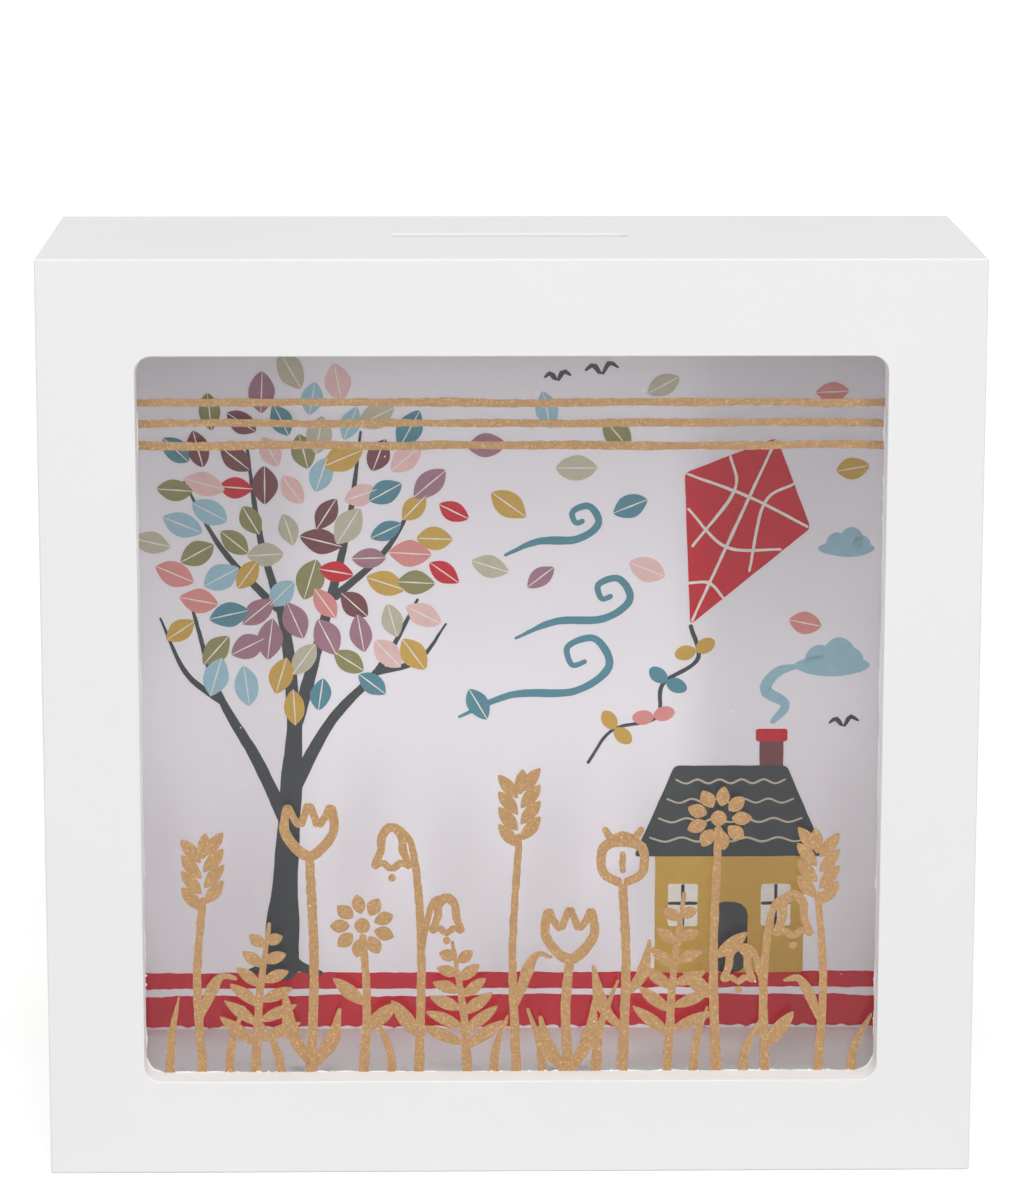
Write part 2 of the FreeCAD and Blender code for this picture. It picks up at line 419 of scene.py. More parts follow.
class Print:
    def __init__(self, faceY, coat, palette):
        self.bm = bmesh.new()
        self.rise = self.bm.verts.layers.float.new("rise")   # how far each mark stands up
        self.faceY = faceY       # the surface that carries the print
        self.coat = coat         # thickness of one coat
        self.palette = palette   # materials by name
        self.marks = 0

    def ownMark(self, faces, colour, layer):
        self.marks += 1
        for face in faces:
            face.material_index = list(self.palette).index(colour)
            for vert in face.verts:
                vert[self.rise] = self.coat * (layer + 1) + self.marks * printing["hair"]

    # a brush line through the points, with widths from its start to its end
    def stroke(self, colour, points, widths, layer=0, ragged=0.06):
        line = SmoothLine(points)
        steps = max(printing["fewestSteps"], int(line.length / printing["step"]))
        made = bmesh.ops.create_grid(self.bm, x_segments=steps, y_segments=1, size=0.5)
        for vert in made["verts"]:
            share = 0.5 - 0.5 * math.cos(math.pi * (vert.co.x + 0.5))   # closer steps at the ends
            side = math.copysign(1, vert.co.y)
            spot, heading = line.at(share)
            half = between(widths, share) * mm / 2
            fromEnd = min(share, 1 - share) * line.length
            if fromEnd < half:
                half = math.sqrt(max(half * half - (half - fromEnd) ** 2, 0))   # round ends
            half *= 1 + printing["swell"] * noise.noise(spot * printing["swellRate"])
            ownSide = Vector((0, side * 7, 0))   # so that the two edges waver apart
            half += ragged * mm * noise.noise(spot * printing["raggedRate"] + ownSide)
            across = Vector((-heading.z, 0, heading.x)) * side
            vert.co = spot + across * max(half, printing["thinnest"])
        self.ownMark({face for vert in made["verts"] for face in vert.link_faces}, colour, layer)

    # a leaf, petal or spot from root to tip; a low belly value makes it round
    def petal(self, colour, root, tip, width, belly=0.9, layer=0, ragged=0.07):
        root = flat(root)
        axis = flat(tip) - root
        across = Vector((-axis.z, 0, axis.x)).normalized()
        few, many = printing["petalSides"]
        sides = few if axis.length < printing["shortPetal"] else many
        made = bmesh.ops.create_circle(self.bm, cap_ends=True, radius=1, segments=sides)
        for vert in made["verts"]:
            share = min(max((vert.co.x + 1) / 2, 0), 1)
            half = width * mm / 2 * max(math.sin(math.pi * share), 0) ** belly
            spot = root + axis * share + across * math.copysign(half, vert.co.y)
            vert.co = spot + shake(spot) * ragged * mm
        self.ownMark({face for vert in made["verts"] for face in vert.link_faces}, colour, layer)

    # a straight-sided patch with softened corners
    def patch(self, colour, corners, layer=0, rounding=0.4, ragged=0.07):
        before = set(self.bm.faces)
        made = bmesh.ops.create_circle(self.bm, cap_ends=True, radius=1, segments=len(corners))
        for vert, corner in zip(made["verts"], corners):
            vert.co = flat(corner)
        bmesh.ops.bevel(
            self.bm, geom=made["verts"], offset=rounding * mm, affect="VERTICES",
            segments=printing["cornerSteps"], profile=0.5, material=-1,
        )
        faces = [face for face in self.bm.faces if face not in before]
        edges = {edge for face in faces for edge in face.edges if edge.calc_length() > printing["longEdge"]}
        bmesh.ops.subdivide_edges(self.bm, edges=list(edges), cuts=printing["edgeCuts"])
        faces = [face for face in self.bm.faces if face not in before]
        for vert in {vert for face in faces for vert in face.verts}:
            vert.co += shake(vert.co) * ragged * mm
        self.ownMark(faces, colour, layer)

    def finish(self, name, body):
        for vert in self.bm.verts:
            vert.co.y = self.faceY + vert[self.rise]   # sunk into the surface as deep as it stands out
        made = bmesh.ops.extrude_face_region(self.bm, geom=self.bm.faces[:])
        for top in made["geom"]:
            if isinstance(top, bmesh.types.BMVert):
                top.co.y = self.faceY - top[self.rise]
        bmesh.ops.recalc_face_normals(self.bm, faces=self.bm.faces[:])
        mesh = bpy.data.meshes.new(name)
        self.bm.to_mesh(mesh)
        self.bm.free()
        for material in self.palette.values():
            mesh.materials.append(material)
        piece = bpy.data.objects.new(name, mesh)
        bpy.context.scene.collection.objects.link(piece)
        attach(piece, body)
        print(name, "printed with", self.marks, "marks,", len(mesh.polygons), "faces")


class SmoothLine:
    def __init__(self, points):
        knots = [flat(point) for point in points]
        reach = [knots[0] * 2 - knots[1]] + knots + [knots[-1] * 2 - knots[-2]]
        self.spots = []
        for before, start, end, after in zip(reach, reach[1:], reach[2:], reach[3:]):
            leave = start + (end - before) / 6
            arrive = end - (after - start) / 6
            span = geometry.interpolate_bezier(start, leave, arrive, end, printing["curveSteps"])
            self.spots += span[:-1]
        self.spots.append(knots[-1])
        self.marks = [0]
        for here, there in zip(self.spots, self.spots[1:]):
            self.marks.append(self.marks[-1] + (there - here).length)
        self.length = self.marks[-1]

    def at(self, share):   # the place and the heading at a share of the length
        distance = share * self.length
        i = min(max(bisect.bisect(self.marks, distance) - 1, 0), len(self.spots) - 2)
        step = self.spots[i + 1] - self.spots[i]
        spot = self.spots[i] + step * ((distance - self.marks[i]) / step.length)
        ahead = self.spots[min(i + 2, len(self.spots) - 1)]
        behind = self.spots[max(i - 1, 0)]
        return spot, (ahead - behind).normalized()


def flat(point):   # a point of the print in millimetres, as a place in metres
    return Vector((point[0] * mm, 0, point[1] * mm))


def shake(spot):   # the unsteady hand, in the plane of the print
    drift = noise.noise_vector(spot * printing["shakeRate"])
    return Vector((drift.x, 0, drift.z))


def between(values, share):
    i = min(int(share * (len(values) - 1)), len(values) - 2)
    return values[i] + (values[i + 1] - values[i]) * (share * (len(values) - 1) - i)


def placed(points, at, turn=0, size=1, flip=1):
    c = math.cos(math.radians(turn)) * size
    s = math.sin(math.radians(turn)) * size
    return [(at[0] + flip * x * c - z * s, at[1] + flip * x * s + z * c) for x, z in points]


def oblong(left, low, right, high):
    return [(left, low), (right, low), (right, high), (left, high)]


def waveringLine(chance, reach, spots, height, waver):   # level spots from one side to the other
    gap = 2 * reach / (spots - 1)
    return [(-reach + gap * i, height + chance.uniform(-waver, waver)) for i in range(spots)]


# picture on the card: a tree that loses its leaves to the wind, a kite and a house
cardPicture = {
    "seed": 11,
    "coat": 0.03 * mm,
    "stripes": [(17.03, 2.65), (11.22, 6.65)],   # height and width of the two red stripes
    "stripeReach": 63.5,
    "stripeSpots": 11,
    "stripeWaver": 0.1,
    "stripeRagged": 0.12,
    "curl": [(-17, -1), (-8, 1.4), (2, 0.6), (8, 3.8), (6.4, 8.6), (2, 8), (2.2, 4.9), (4.6, 5.2)],
    "curlWidths": [0.4, 1.0, 1.3, 1.2, 1.2, 1.0, 0.8],
    "curlTurn": 8,
    "curls": [((9, 64), 1.0), ((14, 76), 0.76), ((10, 89), 0.62)],   # place and size
    "puffs": [   # of a cloud: start, end, height and thickness, as shares of its width
        (-0.5, 0.5, 0.0, 0.3), (-0.36, 0.02, 0.1, 0.36), (-0.12, 0.3, 0.16, 0.44), (0.1, 0.42, 0.08, 0.3),
    ],
    "clouds": [((52, 69), 12), ((54, 88), 9)],   # place and width
    "wings": [(-2.6, 0.8), (-1.2, 1.5), (0, 0), (1.3, 1.6), (2.8, 0.7)],
    "wingWidths": [0.3, 0.9, 0.5, 0.9, 0.3],
    "wingTurn": 6,
    "birds": [((15, 116), 1.0), ((8, 115), 0.8), ((54, 59), 0.9)],   # place and size
}


def drawCard():
    card = Print(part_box("backing_card")[0].y, cardPicture["coat"], inkMaterials)
    chance = random.Random(cardPicture["seed"])
    for height, width in cardPicture["stripes"]:
        spots = waveringLine(
            chance, cardPicture["stripeReach"], cardPicture["stripeSpots"], height,
            cardPicture["stripeWaver"],
        )
        card.stroke("red", spots, [width, width], ragged=cardPicture["stripeRagged"])
    drawTree(card)
    drawLeaves(card, chance)
    drawKite(card)
    drawHouse(card)
    for at, size in cardPicture["curls"]:
        curl = placed(cardPicture["curl"], at, cardPicture["curlTurn"], size)
        card.stroke("teal", curl, cardPicture["curlWidths"])
    for at, width in cardPicture["clouds"]:
        for start, end, rise, thick in cardPicture["puffs"]:
            root, tip = placed([(start, rise), (end, rise)], at, size=width)
            card.petal("sky", root, tip, thick * width, belly=0.5, ragged=0.12)
    for at, size in cardPicture["birds"]:
        wings = placed(cardPicture["wings"], at, cardPicture["wingTurn"], size)
        card.stroke("charcoal", wings, cardPicture["wingWidths"])
    card.finish("card_picture", "back")


blownTree = {
    "limbs": [   # points and widths of the trunk, the roots and the branches
        ([(-36.5, 17), (-35.6, 32), (-34.6, 46), (-33.6, 62)], [6.4, 4.2, 3.6, 2.4]),
        ([(-36.2, 22), (-38.5, 19.6), (-42.5, 18.2)], [2.8, 1.8, 0.6]),
        ([(-36.2, 22), (-33.5, 19.6), (-29.5, 18.2)], [2.8, 1.8, 0.6]),
        ([(-35, 43), (-40, 54), (-46, 65), (-50, 79)], [2.4, 1.7, 1.1, 0.4]),
        ([(-34.6, 48), (-28, 60), (-20, 69), (-14, 80)], [2.4, 1.7, 1.1, 0.4]),
        ([(-33.8, 57), (-35, 74), (-39, 90), (-41, 105)], [2.4, 1.7, 1.0, 0.4]),
        ([(-33.6, 59), (-29, 76), (-25, 92), (-23, 107)], [2.2, 1.6, 1.0, 0.4]),
        ([(-45, 63), (-51, 68), (-55, 77)], [1.2, 0.8, 0.3]),
        ([(-21, 68), (-14, 70), (-9.5, 76)], [1.2, 0.8, 0.3]),
        ([(-36, 78), (-45, 88), (-51, 99)], [1.3, 0.9, 0.3]),
        ([(-27.6, 80), (-19, 88), (-13, 99)], [1.3, 0.9, 0.3]),
    ],
    "crownMiddle": (-32, 89),
    "crownReach": (24.5, 28),
    "crownLeaves": 78,
    "goldenAngle": 2.39996,      # spreads the leaves evenly
    "drift": [(-3, 104), (1, 95), (6, 110), (11, 101), (17, 107), (19, 95), (23, 84), (25, 114), (51, 113),
              (55, 101), (47, 76), (6, 83), (-2, 85), (-4, 63)],
    "driftTurn": (-60, 40),
    "leafColours": ["teal", "olive", "red", "mauve", "sand", "salmon", "sky", "ochre", "maroon", "pink"],
    "leafLength": (5.2, 6.8),
    "leafWidth": (0.56, 0.68),   # to its length
    "leafStray": 0.7,
    "leafTurn": 38,
    "veinWidths": [0.1, 0.24, 0.1],
}


def drawTree(card):
    for points, widths in blownTree["limbs"]:
        card.stroke("charcoal", points, widths, layer=1)


def drawLeaves(card, chance):
    count = blownTree["crownLeaves"]
    spots = []
    for i in range(count):
        out = math.sqrt((i + 0.6) / count)
        around = i * blownTree["goldenAngle"]
        x = blownTree["crownMiddle"][0] + blownTree["crownReach"][0] * out * math.cos(around)
        z = blownTree["crownMiddle"][1] + blownTree["crownReach"][1] * out * math.sin(around)
        spots.append((x, z, math.degrees(around)))
    for x, z in blownTree["drift"]:
        spots.append((x, z, chance.uniform(*blownTree["driftTurn"])))
    stray = blownTree["leafStray"]
    turn = blownTree["leafTurn"]
    last = ""
    for x, z, heading in spots:
        colour = chance.choice([name for name in blownTree["leafColours"] if name != last])
        last = colour
        length = chance.uniform(*blownTree["leafLength"])
        root, tip = placed(
            [(-length / 2, 0), (length / 2, 0)],
            (x + chance.uniform(-stray, stray), z + chance.uniform(-stray, stray)),
            heading + chance.uniform(-turn, turn),
        )
        width = length * chance.uniform(*blownTree["leafWidth"])
        card.petal(colour, root, tip, width, belly=0.75, layer=2, ragged=0.16)
        vein = [root, ((root[0] + tip[0]) / 2, (root[1] + tip[1]) / 2), tip]
        card.stroke("cream", vein, blownTree["veinWidths"], layer=3, ragged=0.03)


kite = {
    "middle": (37, 93),
    "turn": -24,
    "corners": [(0, 14), (-11, 3), (0, -19), (11, 3)],
    "spars": [
        [(0, 13.6), (0, -18.4)],
        [(-10.6, 3), (0, 3.6), (10.6, 3)],
        [(-5.6, 8.5), (-2.6, 3.6), (-5, -7.4)],
        [(5.6, 8.5), (2.6, 3.6), (5, -7.4)],
        [(-8.2, -2), (0, -5.2), (8.2, -2)],
        [(-3.2, -13), (0, -11.6), (3.2, -13)],
    ],
    "sparWidths": [0.4, 0.5, 0.4],
    "tail": [(29.3, 75.7), (30.5, 70), (25, 66), (24, 60.5), (17, 58.5), (13, 53)],
    "tailWidths": [0.7, 0.6, 0.5],
    "bows": [   # place, colour and turn
        ((30.2, 71.4), "ochre", 20), ((25.6, 66.4), "teal", -30),
        ((23.6, 60.6), "salmon", 10), ((17.4, 58.7), "ochre", -50),
    ],
    "bowLoop": (3.4, 0.5),
    "bowWidth": 2.4,
}


def drawKite(card):
    card.patch("red", placed(kite["corners"], kite["middle"], kite["turn"]), layer=1, rounding=0.8)
    for points in kite["spars"]:
        card.stroke("cream", placed(points, kite["middle"], kite["turn"]), kite["sparWidths"], layer=2)
    card.stroke("charcoal", kite["tail"], kite["tailWidths"])
    reach, rise = kite["bowLoop"]
    for at, colour, angle in kite["bows"]:
        for side in (-1, 1):
            root, tip = placed([(0, 0), (reach * side, rise)], at, angle)
            card.petal(colour, root, tip, kite["bowWidth"], belly=0.5, layer=2)


house = {   # oblongs are left, low, right and high
    "wall": (24, 18.2, 48, 39),
    "chimney": (40.6, 44, 44.4, 57.5),
    "chimneyCap": (40, 56.6, 45, 58.6),
    "eaves": (20.6, 51.4, 37.6),     # left, right and height
    "ridge": (27, 45, 52.6),
    "tileRows": [40.4, 43.6, 46.8, 50.0],
    "tileWaves": 10,
    "tileWave": 0.35,
    "roofSlope": 0.43,               # how far the roof draws in, to its height
    "tileMargin": 1.2,
    "tileWidths": [0.3, 0.36, 0.3],
    "door": (33, 18.2, 39, 30),
    "doorRounding": 2.2,
    "doorKnob": [(37.2, 23.6), (38.2, 23.6)],
    "knobWidth": 1.0,
    "windows": [28.5, 43.5],         # their middles
    "windowHalf": 2.4,
    "windowHeights": (26, 33),
    "windowRail": 29.8,
    "windowBar": [0.5, 0.5],
    "smoke": [(42.4, 59.5), (44.6, 62.6), (41.4, 65), (43.4, 68), (47.4, 69)],
    "smokeWidths": [0.8, 1.6, 2.0, 1.6, 0.5],
}


def drawHouse(card):
    card.patch("ochre", oblong(*house["wall"]), layer=1)
    card.patch("maroon", oblong(*house["chimney"]), layer=1)
    card.patch("red", oblong(*house["chimneyCap"]), layer=2)
    left, right, eaves = house["eaves"]
    ridgeLeft, ridgeRight, ridge = house["ridge"]
    roof = [(left, eaves), (right, eaves), (ridgeRight, ridge), (ridgeLeft, ridge)]
    card.patch("charcoal", roof, layer=2, rounding=0.7)
    for z in house["tileRows"]:
        inset = (z - eaves) * house["roofSlope"] + house["tileMargin"]
        gap = (right - left - 2 * inset) / house["tileWaves"]
        waves = []
        for i in range(house["tileWaves"] + 1):
            waves.append((left + inset + i * gap, z + house["tileWave"] * (-1) ** i))
        card.stroke("sand", waves, house["tileWidths"], layer=3, ragged=0.03)
    card.patch("charcoal", oblong(*house["door"]), layer=2, rounding=house["doorRounding"])
    card.petal("ochre", *house["doorKnob"], house["knobWidth"], belly=0.5, layer=3)
    half = house["windowHalf"]
    low, high = house["windowHeights"]
    rail = house["windowRail"]
    bar = house["windowBar"]
    for x in house["windows"]:
        card.patch("cream", oblong(x - half, low, x + half, high), layer=2)
        card.stroke("charcoal", [(x, low), (x, (low + high) / 2), (x, high)], bar, layer=3)
        card.stroke("charcoal", [(x - half, rail), (x, rail), (x + half, rail)], bar, layer=3)
    card.stroke("sky", house["smoke"], house["smokeWidths"])


drawCard()


# gold print on the pane: three lines above and a meadow below
goldPrint = {
    "seed": 5,
    "coat": 0.05 * mm,
    "ragged": 0.13,
    "lines": [117.9, 114.8, 111.5],
    "lineWidth": 1.2,
    "lineReach": 56.4,
    "lineSpots": 13,
    "lineWaver": 0.12,
    "lineSwell": (0.86, 1.14),
    "swells": 16,
    "ground": 13.4,
    "plants": [   # kind, place along the pane, height, and which way it leans
        ("wheat", -47, 38, 1), ("fern", -39, 25, 1), ("tulip", -30.5, 43, 1), ("daisy", -22.5, 29, -1),
        ("bellflower", -14, 42, -1), ("fern", -6.5, 22, -1), ("wheat", 1, 49, 1), ("tulip", 9, 28, -1),
        ("poppyHead", 17, 40, 1), ("fern", 24, 29, 1), ("daisy", 31.5, 45, 1), ("bellflower", 39, 31, 1),
        ("wheat", 47, 40, -1),
    ],
    "plantFoot": (-0.8, 0.8),    # how far a plant starts from the ground's height
    "blades": [-52, -43, -35, -18, -2.6, 5, 13, 28, 35.4, 52],
    "bladeFoot": (-1, 0.5),
    "bladeHeight": (9, 16),
    "bladeBend": (1.5, 3.5),
    "bladeWidths": [1.5, 1.2, 0.4],
}


# each plant of height h gives lines with their widths, and leaves and spots from root to tip

def wheat(h):
    marks = [
        ("line", [(0, 0), (-0.7, h * 0.4), (0.3, h - 10)], [1.5, 1.2, 1.1]),
        ("line", [(-0.4, h * 0.24), (2.6, h * 0.4), (5.4, h * 0.4)], [1.0, 1.8, 0.5]),
        ("leaf", (0.4, h - 4), (0.8, h), 2.0),
    ]
    for i in range(4):
        z = h - 12 + i * 2.5
        marks.append(("leaf", (0.1, z), (-2.9, z + 3.6), 2.0))
        marks.append(("leaf", (0.5, z + 1), (3.5, z + 4.6), 2.0))
    return marks


def fern(h):
    marks = [("line", [(0, 0), (0.7, h * 0.5), (2.4, h)], [1.5, 1.2, 0.6])]
    for i in range(6):
        share = 0.22 + i * 0.125
        x = 0.5 + 1.7 * share * share
        reach = (1 - share) * 7 + 2
        marks.append(("leaf", (x, h * share), (x - reach * 0.8, h * share + reach * 0.62), 1.9))
        marks.append(("leaf", (x, h * share + 0.8), (x + reach * 0.86, h * share + reach * 0.5), 1.9))
    return marks


def tulip(h):
    cup = [(-3.3, h - 0.6), (-3.6, h - 5), (0, h - 8.6), (3.6, h - 5), (3.3, h - 0.6)]
    return [
        ("line", [(0, 0), (0.6, h * 0.4), (0, h - 8.4)], [1.7, 1.4, 1.4]),
        ("line", [(0, 1.5), (-3, 7), (-3.9, 13.5)], [1.0, 2.4, 0.5]),
        ("line", [(0.2, 1), (3.2, 5.4), (4.5, 10.5)], [1.0, 2.4, 0.5]),
        ("line", cup, [1.3, 1.7, 1.3]),
        ("line", [(-3.3, h - 0.6), (-2.4, h - 2.6), (-1.3, h - 4)], [1.2, 1.1, 1.2]),
        ("line", [(0, h - 0.4), (-0.7, h - 2.2), (-1.3, h - 4)], [1.3, 1.1, 1.2]),
        ("line", [(0, h - 0.4), (0.7, h - 2.2), (1.3, h - 4)], [1.3, 1.1, 1.2]),
        ("line", [(3.3, h - 0.6), (2.4, h - 2.6), (1.3, h - 4)], [1.2, 1.1, 1.2]),
    ]


def daisy(h):
    marks = [
        ("line", [(0, 0), (-0.6, h * 0.4), (0, h - 6.2)], [1.6, 1.3, 1.2]),
        ("leaf", (-0.4, h * 0.26), (-5.2, h * 0.26 + 4.4), 2.3),
        ("leaf", (-0.4, h * 0.4), (4.6, h * 0.4 + 4.2), 2.2),
        ("spot", (-1.2, h - 5), (1.2, h - 5), 2.4),
    ]
    for i in range(9):
        inner, outer = placed([(1.9, 0), (5, 0)], (0, h - 5), i * 40)
        marks.append(("leaf", inner, outer, 2.2))
    return marks


def bellflower(h):
    marks = [
        ("line", [(0, 0), (-0.4, h * 0.5), (0.8, h * 0.86), (3.6, h * 0.96)], [1.6, 1.3, 1.2, 0.9]),
        ("line", [(-0.4, h * 0.48), (-2, h * 0.66), (-4, h * 0.69)], [1.0, 1.0, 0.8]),
        ("leaf", (-0.2, h * 0.16), (4.2, h * 0.16 + 6), 2.3),
    ]
    bell = [(-2.9, -6.6), (-1.7, -4), (-1.5, -1.6), (0, -0.2), (1.5, -1.6), (1.7, -4), (2.9, -6.6)]
    hem = [(-2.9, -6.6), (-1.4, -5.8), (0, -6.8), (1.4, -5.8), (2.9, -6.6)]
    for x, z, size in ((4, h * 0.955, 1), (-4.3, h * 0.69, 0.85)):
        marks.append(("line", placed(bell, (x, z), size=size), [1.0, 1.5, 1.0]))
        marks.append(("line", placed(hem, (x, z), size=size), [1.0, 1.1, 1.0]))
        marks.append(("spot", (x - 0.6, z - 8.2 * size), (x + 0.6, z - 8.2 * size), 1.2))
    return marks


def poppyHead(h):
    pod = [
        (0.2, h - 8.8), (3, h - 7), (2.9, h - 3.2), (0, h - 2.2),
        (-2.9, h - 3.2), (-3, h - 7), (-0.2, h - 8.8),
    ]
    return [
        ("line", [(0, 0), (0.6, h * 0.45), (0, h - 8.8)], [1.7, 1.4, 1.3]),
        ("line", pod, [1.3, 1.6, 1.3]),
        ("line", [(-3, h), (-1.6, h - 1.8), (0, h - 1.2), (1.6, h - 1.8), (3, h)], [1.0, 1.4, 1.0]),
        ("line", [(0, h - 7.2), (0, h - 5.6), (0, h - 3.8)], [0.8, 1.0, 0.8]),
        ("line", [(0.3, h * 0.2), (-3, h * 0.3), (-4.4, h * 0.46)], [1.0, 2.2, 0.5]),
        ("line", [(0.4, h * 0.34), (3, h * 0.42), (4.2, h * 0.56)], [1.0, 2.0, 0.5]),
    ]


plantKinds = {
    "wheat": wheat, "fern": fern, "tulip": tulip, "daisy": daisy, "bellflower": bellflower,
    "poppyHead": poppyHead,
}


def printPane():
    gold = Print(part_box("window_pane")[0].y, goldPrint["coat"], goldMaterials)
    chance = random.Random(goldPrint["seed"])
    ragged = goldPrint["ragged"]
    for height in goldPrint["lines"]:
        spots = waveringLine(
            chance, goldPrint["lineReach"], goldPrint["lineSpots"], height, goldPrint["lineWaver"]
        )
        swells = [chance.uniform(*goldPrint["lineSwell"]) for _ in range(goldPrint["swells"])]
        # the three lines take the darker gold: painted shade, as if the window head shaded them
        gold.stroke("deepGold", spots, [goldPrint["lineWidth"] * swell for swell in swells], ragged=ragged)
    for kind, x, height, lean in goldPrint["plants"]:
        foot = (x, goldPrint["ground"] + chance.uniform(*goldPrint["plantFoot"]))
        for form, *shape in plantKinds[kind](height):
            if form == "line":
                gold.stroke("gold", placed(shape[0], foot, flip=lean), shape[1], ragged=ragged)
            else:
                root, tip = placed(shape[:2], foot, flip=lean)
                belly = 0.5 if form == "spot" else 0.75
                gold.petal("gold", root, tip, shape[2], belly, ragged=ragged)
    for x in goldPrint["blades"]:
        foot = (x, goldPrint["ground"] + chance.uniform(*goldPrint["bladeFoot"]))
        tall = chance.uniform(*goldPrint["bladeHeight"])
        bend = chance.choice((-1, 1)) * chance.uniform(*goldPrint["bladeBend"])
        blade = placed([(0, 0), (bend * 0.2, tall * 0.5), (bend, tall)], foot)
        gold.stroke("gold", blade, goldPrint["bladeWidths"], ragged=ragged)
    gold.finish("pane_gold", "case")


printPane()


# paint that crept onto the pane along the window, with nibs and flecks, and along the card's foot
paintCreep = {
    "seed": 3,
    "coat": 0.05 * mm,
    "ragged": 0.1,
    "window": (55.55, 14.45, 125.55),   # half the width, bottom and top
    "corner": 2.5,
    "cornerBow": 0.29,                  # how far in an arc's middle lies, to its radius
    "cornerWidths": [0.1, 0.4, 0.1],
    "runs": 60,
    "runStart": (0, 0.94),              # this and the length are to the side of the window
    "runLength": (0.01, 0.06),
    "runWidth": (0.16, 0.42),
    "runEnd": 0.08,
    "nibs": 110,
    "nibSize": (0.15, 0.55),
    "flecks": 30,
    "fleckSize": (0.1, 0.3),
    "fleckRagged": 0.04,
    "fleckField": ((-52, 52), (18, 122)),   # along the pane and up it
    "footHeight": 9.1,
    "footStart": -60.5,
    "footStrokes": 40,
    "footGap": 3,
    "footStray": 0.6,
    "footLength": 3.4,
    "footEnd": 0.2,
    "footWidths": [(0.3, 1.0), (0.2, 0.8)],
    "footRagged": 0.24,
}


def creepPaint(chance, white):
    paint = Print(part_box("window_pane")[0].y, paintCreep["coat"], white)
    side, low, high = paintCreep["window"]
    r = paintCreep["corner"]
    ragged = paintCreep["ragged"]
    sill = [(-side + r, low), (side - r, low)]
    head = [(-side + r, high), (side - r, high)]
    left = [(-side, low + r), (-side, high - r)]
    right = [(side, low + r), (side, high - r)]
    often = [sill] * 4 + [left] * 2 + [right] * 2 + [head]   # paint gathers along the sill
    for _ in range(paintCreep["runs"]):
        line = SmoothLine(chance.choice(often))
        start = chance.uniform(*paintCreep["runStart"])
        end = start + chance.uniform(*paintCreep["runLength"])
        spots = [line.at(share)[0] / mm for share in (start, (start + end) / 2, end)]
        widths = [paintCreep["runEnd"], chance.uniform(*paintCreep["runWidth"]), paintCreep["runEnd"]]
        paint.stroke("white", [(spot.x, spot.z) for spot in spots], widths, ragged=ragged)
    bow = r * paintCreep["cornerBow"]
    for x, z, up in ((-1, low, 1), (1, low, 1), (-1, high, -1), (1, high, -1)):
        arc = [(x * (side - r), z), (x * (side - bow), z + up * bow), (x * side, z + up * r)]
        paint.stroke("white", arc, paintCreep["cornerWidths"], ragged=ragged)
    for _ in range(paintCreep["nibs"]):
        spot = SmoothLine(chance.choice(often)).at(chance.random())[0]
        dab(paint, chance, (spot.x / mm, spot.z / mm), chance.uniform(*paintCreep["nibSize"]), ragged)
    along, up = paintCreep["fleckField"]
    for _ in range(paintCreep["flecks"]):
        spot = (chance.uniform(*along), chance.uniform(*up))
        dab(paint, chance, spot, chance.uniform(*paintCreep["fleckSize"]), paintCreep["fleckRagged"])
    paint.finish("window_paint_creep", "case")


def dab(paint, chance, at, size, ragged):
    root, tip = placed([(-size / 2, 0), (size / 2, 0)], at, chance.uniform(0, 180))
    paint.petal("white", root, tip, size * 0.8, belly=0.6, layer=1, ragged=ragged)


def paintCardFoot(chance, white):
    foot = Print(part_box("backing_card")[0].y, paintCreep["coat"], white)
    z = paintCreep["footHeight"]
    stray = paintCreep["footStray"]
    length = paintCreep["footLength"]
    for i in range(paintCreep["footStrokes"]):
        x = paintCreep["footStart"] + i * paintCreep["footGap"] + chance.uniform(-stray, stray)
        middle = [chance.uniform(*width) for width in paintCreep["footWidths"]]
        widths = [paintCreep["footEnd"]] + middle + [paintCreep["footEnd"]]
        spots = [(x, z), (x + length / 2, z), (x + length, z)]
        foot.stroke("white", spots, widths, ragged=paintCreep["footRagged"])
    foot.finish("card_foot_paint", "back")


brush = random.Random(paintCreep["seed"])
whiteOnly = {"white": finishes["white_painted_wood"]}
creepPaint(brush, whiteOnly)
paintCardFoot(brush, whiteOnly)


# camera at the photograph's viewing angle
photoCamera = {
    "place": (-0.012519, -0.688577, 0.223821),
    "pitch": 0.200976,
    "yaw": 0.018077,
    "roll": 0.001394,
    "lens": 136.27,
    "sensor": 36,
    "nearest": 0.01,
}


def addCamera():
    lens = bpy.data.cameras.new("camera")
    lens.lens = photoCamera["lens"]
    lens.sensor_width = photoCamera["sensor"]
    lens.clip_start = photoCamera["nearest"]
    camera = bpy.data.objects.new("camera", lens)
    turn = Matrix.Rotation(-photoCamera["yaw"], 4, "Z")
    tilt = Matrix.Rotation(math.pi / 2 - photoCamera["pitch"], 4, "X")
    lean = Matrix.Rotation(photoCamera["roll"], 4, "Z")
    camera.matrix_world = Matrix.Translation(photoCamera["place"]) @ turn @ tilt @ lean
    bpy.context.scene.collection.objects.link(camera)
    bpy.context.scene.camera = camera


addCamera()


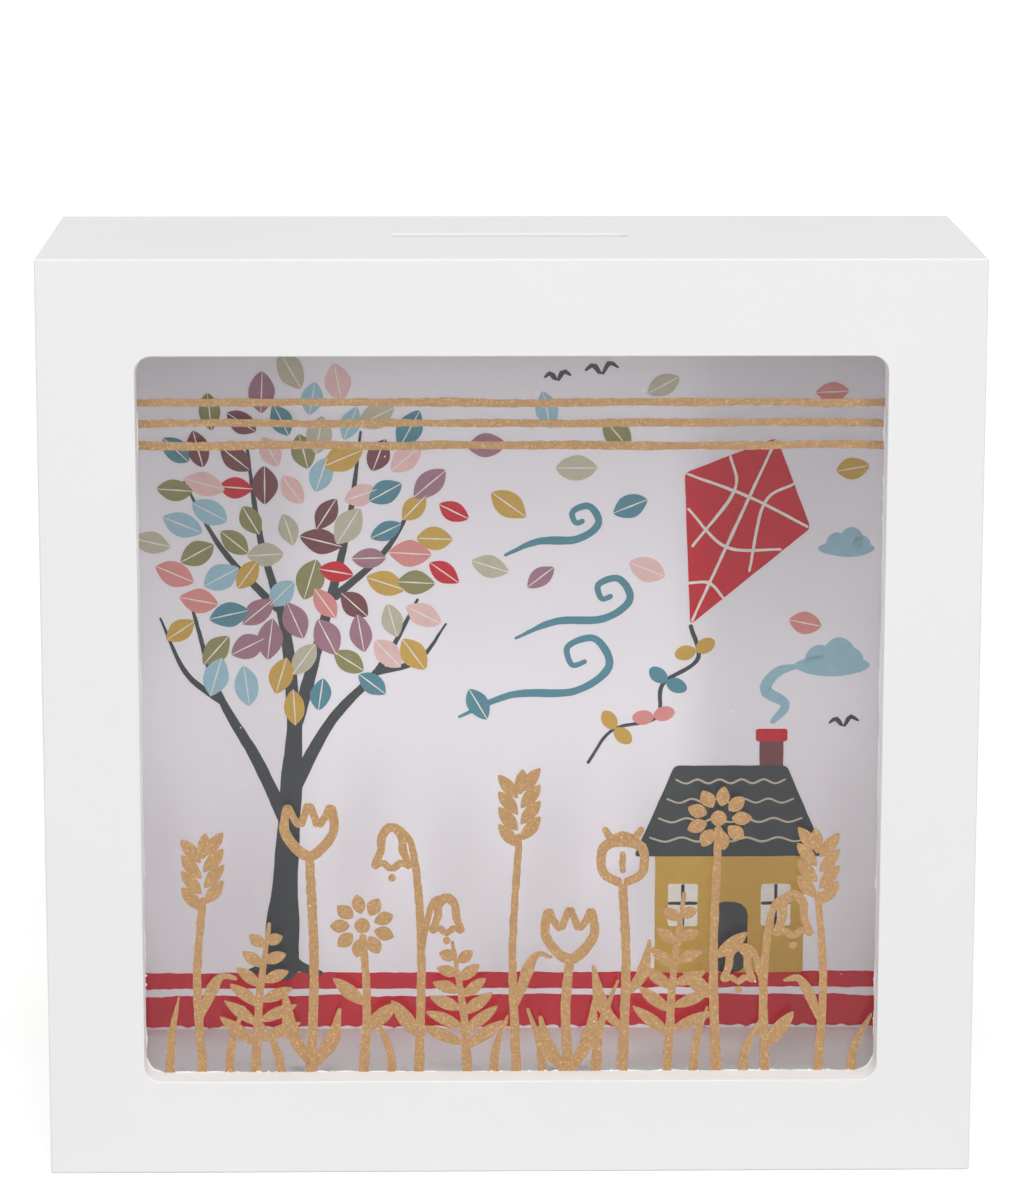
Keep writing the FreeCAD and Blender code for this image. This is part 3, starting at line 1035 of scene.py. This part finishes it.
# floor, world and lamps
studio = {
    "floor": ink(205, 205, 205),
    "floorShade": ink(202, 202, 202),
    "shadeSize": 0.4,
    "floorHalf": 6,
    "floorLift": 0.51,       # the camera sees the floor white, with the shadow kept
    "farLift": 0.49,         # and the same far from the lamps
    "farFrom": (0.25, 2.2),
    "world": 0.43,
    "aim": (0, 0, 0.07),
    "lamps": [   # name, place, width and height, and power
        ("highLamp", (0, -1.5, 1.6), (0.5, 0.5), 10.6),
        ("topLamp", (0, -0.35, 1.8), (0.7, 0.7), 6.7),
        ("leftStrip", (-1.12, -2.1, 0.7), (0.4, 1.1), 8.9),
        ("rightStrip", (1.22, -2.1, 0.68), (0.4, 1.1), 12.8),
        ("leftBack", (-1.6, 1.7, 0.5), (1.0, 1.0), 8.1),
        ("rightBack", (1.6, 1.7, 0.5), (1.0, 1.0), 8.1),
    ],
}


def shownRays(w):   # rays that show the background: straight, mirrored in metal or through the pane
    seen = w.node("ShaderNodeLightPath", out="Is Camera Ray")
    mirrored = w.node("ShaderNodeLightPath", out="Is Glossy Ray")
    passed = w.node("ShaderNodeLightPath", out="Is Transmission Ray")
    return w.maths("MAXIMUM", w.maths("MAXIMUM", seen, mirrored), passed)


def floorShader(w):
    tone = w.noise(studio["shadeSize"])
    away = w.node("ShaderNodeVectorMath", {"operation": "LENGTH"}, {0: w.place()}, out="Value")
    start, end = studio["farFrom"]
    far = w.node("ShaderNodeMapRange", {"interpolation_type": "SMOOTHSTEP"}, {
        "Value": away, "From Min": start, "From Max": end,
    })
    paint = w.node("ShaderNodeBsdfDiffuse", None, {
        "Color": w.blend(tone, studio["floor"], studio["floorShade"]),
    })
    lift = w.node("ShaderNodeEmission", None, {
        "Strength": shownRays(w) * (studio["floorLift"] + far * studio["farLift"]),
    })
    return w.node("ShaderNodeAddShader", None, {0: paint, 1: lift})


def addFloor():
    bm = bmesh.new()
    bmesh.ops.create_grid(bm, x_segments=1, y_segments=1, size=studio["floorHalf"])
    mesh = bpy.data.meshes.new("floor")
    bm.to_mesh(mesh)
    bm.free()
    mesh.materials.append(newMaterial("floor", floorShader))
    floor = bpy.data.objects.new("floor", mesh)
    bpy.context.scene.collection.objects.link(floor)


def addWorld():
    world = bpy.data.worlds.new("studio")
    world.use_nodes = True
    tree = world.node_tree
    tree.nodes.clear()
    w = Wire(tree)
    sky = w.node("ShaderNodeBackground", None, {
        "Color": (1, 1, 1, 1),
        "Strength": studio["world"] + shownRays(w) * (1 - studio["world"]),
    })
    output = tree.nodes.new("ShaderNodeOutputWorld")
    tree.links.new(sky.socket, output.inputs["Surface"])
    bpy.context.scene.world = world


def addLamps():
    for name, place, size, power in studio["lamps"]:
        lamp = bpy.data.lights.new(name, "AREA")
        lamp.shape = "ELLIPSE"
        lamp.size, lamp.size_y = size
        lamp.energy = power
        holder = bpy.data.objects.new(name, lamp)
        aim = Vector(studio["aim"]) - Vector(place)
        holder.matrix_world = Matrix.Translation(place) @ aim.to_track_quat("-Z", "Y").to_matrix().to_4x4()
        bpy.context.scene.collection.objects.link(holder)


addFloor()
addWorld()
addLamps()
bpy.context.scene.view_settings.view_transform = "Standard"
print("camera and studio in place")
